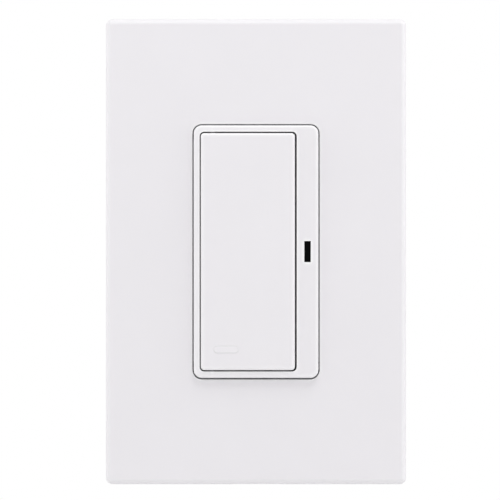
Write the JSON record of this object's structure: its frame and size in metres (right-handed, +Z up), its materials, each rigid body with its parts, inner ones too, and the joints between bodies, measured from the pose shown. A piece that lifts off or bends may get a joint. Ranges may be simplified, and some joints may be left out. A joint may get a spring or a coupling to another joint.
{
  "type": "push-pad wall switch with wall plate",
  "caption": "Flush wall switch with a tall push pad hinged at its left edge, an indicator window in the right rail and a screwless clip-on wall plate.",
  "frame": {"origin": "middle of the wall face, halfway between the two box screws", "axes": "+Z up the wall, +Y into the wall, the front faces -Y"},
  "size_m": [0.0786, 0.0416, 0.1218],
  "materials": {
    "cover_plastic": "satin moulded white",
    "subplate_plastic": "plain moulded white",
    "device_plastic": "satin moulded white",
    "paddle_plastic": "satin moulded white",
    "indicator_black": "glossy black, unlit",
    "bumper_rubber": "soft",
    "zinc_strap": "zinc plated",
    "zinc_screw": "zinc plated",
    "fibre_retainer": "pressed fibre",
    "green_screw": "green dyed",
    "housing_plastic": "pale grey moulded",
    "board_laminate": "lacquered laminate",
    "radio_laminate": "lacquered laminate",
    "shield_tin": "tinned",
    "tact_plastic": "moulded",
    "button_plastic": "moulded",
    "led_epoxy": "clear cast",
    "chip_epoxy": "moulded",
    "ferrite": "ground ferrite",
    "coil_tape": "wrapped tape",
    "film_capacitor_box": "moulded",
    "capacitor_sleeve": "shrunk sleeve",
    "varistor_epoxy": "dipped",
    "resistor_lacquer": "lacquered",
    "brass_terminal": "plain brass",
    "nickel_terminal": "nickel plated"
  },
  "bodies": {
    "device": {"wallplate_cover": "cover_plastic", "wallplate_subplate": "subplate_plastic", "bezel_frame": "device_plastic", "indicator_lens": "indicator_black", "paddle_bumper_upper": "bumper_rubber", "paddle_bumper_lower": "bumper_rubber", "mounting_strap": "zinc_strap", "subplate_screw_upper": "zinc_screw", "subplate_screw_lower": "zinc_screw", "box_screw_upper": "zinc_screw", "box_screw_lower": "zinc_screw", "housing_screw_1": "zinc_screw", "housing_screw_2": "zinc_screw", "housing_screw_3": "zinc_screw", "housing_screw_4": "zinc_screw", "screw_retainer_upper": "fibre_retainer", "screw_retainer_lower": "fibre_retainer", "ground_screw": "green_screw", "rear_housing": "housing_plastic", "circuit_board": "board_laminate", "radio_board": "radio_laminate", "radio_shield": "shield_tin", "tactile_switch_body": "tact_plastic", "indicator_led": "led_epoxy", "controller_chip": "chip_epoxy", "supply_chip": "chip_epoxy", "rectifier_bridge": "chip_epoxy", "transformer_core": "ferrite", "transformer_coil": "coil_tape", "safety_capacitor": "film_capacitor_box", "storage_capacitor": "capacitor_sleeve", "surge_varistor": "varistor_epoxy", "fuse_resistor": "resistor_lacquer", "line_terminal_plate": "brass_terminal", "line_wire_clamp": "brass_terminal", "line_terminal_screw": "brass_terminal", "neutral_terminal_plate": "nickel_terminal", "neutral_wire_clamp": "nickel_terminal", "neutral_terminal_screw": "nickel_terminal"},
    "push_pad": {"paddle": "paddle_plastic"},
    "switch_button": {"tactile_switch_button": "button_plastic"}
  },
  "joints": [
    {"name": "paddle_hinge", "type": "hinge", "parent": "device", "child": "push_pad", "pos_m": [-0.01145, -0.0069, 0], "axis": [0, 0, 1], "range_deg": [0, 1.8], "stiffness_Nm_per_rad": 0.05, "springref_deg": -11.46},
    {"name": "button_slide", "type": "slide", "parent": "device", "child": "switch_button", "axis": [0, 1, 0], "range_m": [0, 0.00027]}
  ],
  "couplings": [
    {"joint": "button_slide", "follows": "paddle_hinge", "m_per_rad": 0.008}
  ]
}
